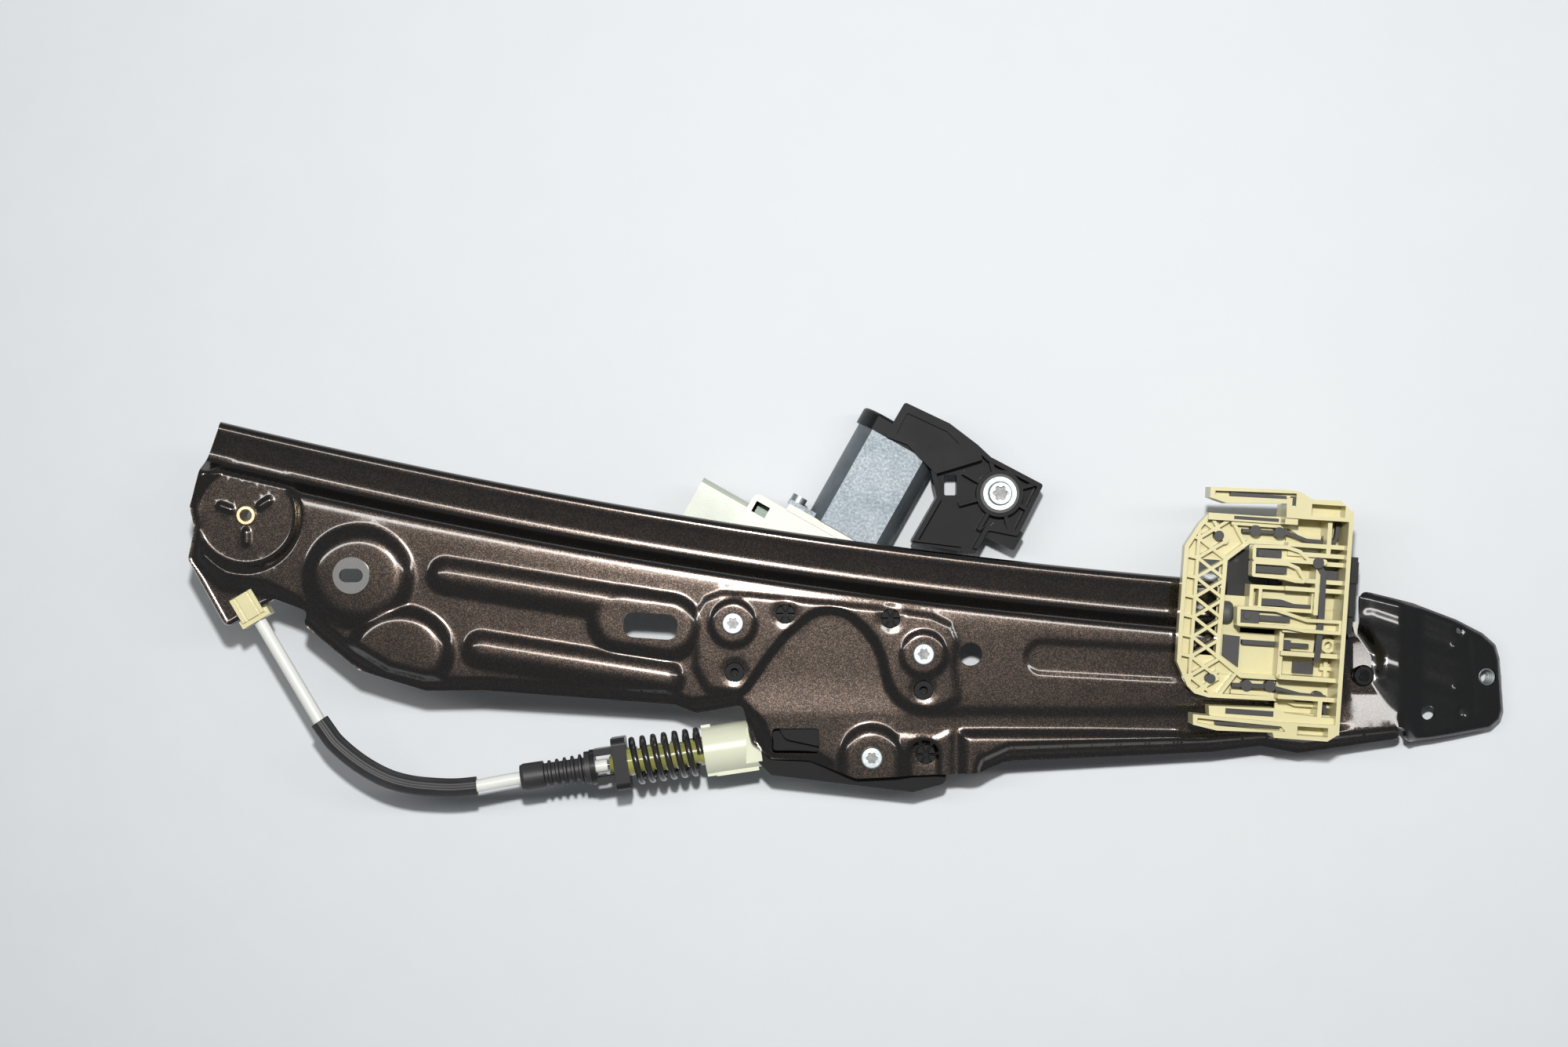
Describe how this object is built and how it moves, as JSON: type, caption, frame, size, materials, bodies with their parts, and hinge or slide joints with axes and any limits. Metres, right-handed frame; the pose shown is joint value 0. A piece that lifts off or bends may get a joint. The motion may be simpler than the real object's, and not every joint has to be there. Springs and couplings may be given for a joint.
{
  "type": "window regulator",
  "caption": "Single-rail cable window regulator: curved pressed rail plate, glass carrier, cable drive, gear motor.",
  "frame": {"origin": "centre of the round locating hole, on the plate's front face", "axes": "+X along the rail towards its lower end, +Y across it towards the rolled lip, +Z out of the plate's front face"},
  "size_m": [0.5577, 0.1679, 0.0766],
  "materials": {
    "coated_steel": "black electro-coat with a warm metallic sheen",
    "zinc": "zinc plated",
    "galvanised": "galvanised, drawn",
    "brass": "plain",
    "grommet_grey": "translucent grey",
    "black_plastic": "moulded",
    "white_plastic": "moulded, slightly cloudy",
    "conduit_white": "smooth",
    "cream_plastic": "moulded",
    "connector_green": "cloudy, greenish",
    "nozzle_white": "cloudy off-white",
    "grease_sleeve": "greased",
    "rubber": "matt",
    "grey_rubber": "matt",
    "steel": "drawn wire",
    "dark_steel": "sheet stack",
    "ferrite": "ground",
    "copper": "enamelled winding",
    "board_green": "lacquered",
    "carbon": "pressed carbon"
  },
  "bodies": {
    "base": {"rail_plate": "coated_steel", "end_bracket": "coated_steel", "weld_nut": "zinc", "mounting_bushing": "grommet_grey", "upper_rivet": "brass", "lower_rivet": "zinc", "drum_housing": "black_plastic", "motor_screws": "zinc", "drum_axle": "steel", "gear_housing": "white_plastic", "gear_cover": "black_plastic", "motor_can": "galvanised", "motor_end_cap": "black_plastic", "can_screws": "zinc", "magnets": "ferrite", "brush_holder": "black_plastic", "carbon_brushes": "carbon", "shaft_bearings": "brass", "circuit_board": "board_green", "connector_housing": "connector_green", "connector_pins": "brass", "motor_bracket": "black_plastic", "bracket_bolt": "zinc", "bracket_bushing": "rubber", "conduit": "conduit_white", "conduit_sleeve": "rubber", "conduit_end_fitting": "cream_plastic", "cable_boot": "rubber", "spring_seat": "black_plastic", "tension_spring": "steel", "adjuster_sleeve": "grease_sleeve", "cable_nozzle": "nozzle_white", "upper_cable": "steel", "lower_cable": "steel"},
    "carrier": {"carrier_frame": "cream_plastic", "carrier_pads": "rubber", "glass_buffer": "grey_rubber", "slider": "black_plastic", "cable_nipples": "zinc"},
    "drum": {"cable_drum": "white_plastic", "worm_wheel": "cream_plastic", "wheel_damper": "rubber"},
    "upper_pulley_wheel": {"upper_pulley": "white_plastic"},
    "lower_pulley_wheel": {"lower_pulley": "white_plastic"},
    "armature": {"armature_shaft": "steel", "armature_core": "dark_steel", "armature_windings": "copper", "commutator": "copper"}
  },
  "joints": [
    {"name": "motor_spin", "type": "hinge", "parent": "base", "child": "armature", "pos_m": [-0.07988, -0.00023, -0.0315], "axis": [0.4909, 0.8712, 0], "range_deg": [0, 76262]},
    {"name": "drum_spin", "type": "hinge", "parent": "base", "child": "drum", "pos_m": [-0.0581, -0.0125, -0.025], "axis": [0, 0, 1], "range_deg": [0, 1044.69]},
    {"name": "carrier_travel", "type": "hinge", "parent": "base", "child": "carrier", "pos_m": [0.32, 2.7485, 0], "axis": [0, 0, -1], "range_deg": [0, 8]},
    {"name": "upper_pulley_spin", "type": "hinge", "parent": "base", "child": "upper_pulley_wheel", "pos_m": [-0.30552, 0.05837, -0.014], "axis": [0, 0, 1], "range_deg": [0, 1119.31]},
    {"name": "lower_pulley_spin", "type": "hinge", "parent": "base", "child": "lower_pulley_wheel", "pos_m": [0.16534, -0.00907, -0.014], "axis": [0, 0, 1], "range_deg": [0, 1119.31]}
  ],
  "couplings": [
    {"joint": "drum_spin", "follows": "motor_spin", "ratio": 0.013699},
    {"joint": "carrier_travel", "follows": "motor_spin", "ratio": 0.0001049},
    {"joint": "upper_pulley_spin", "follows": "motor_spin", "ratio": 0.014677},
    {"joint": "lower_pulley_spin", "follows": "motor_spin", "ratio": 0.014677}
  ]
}
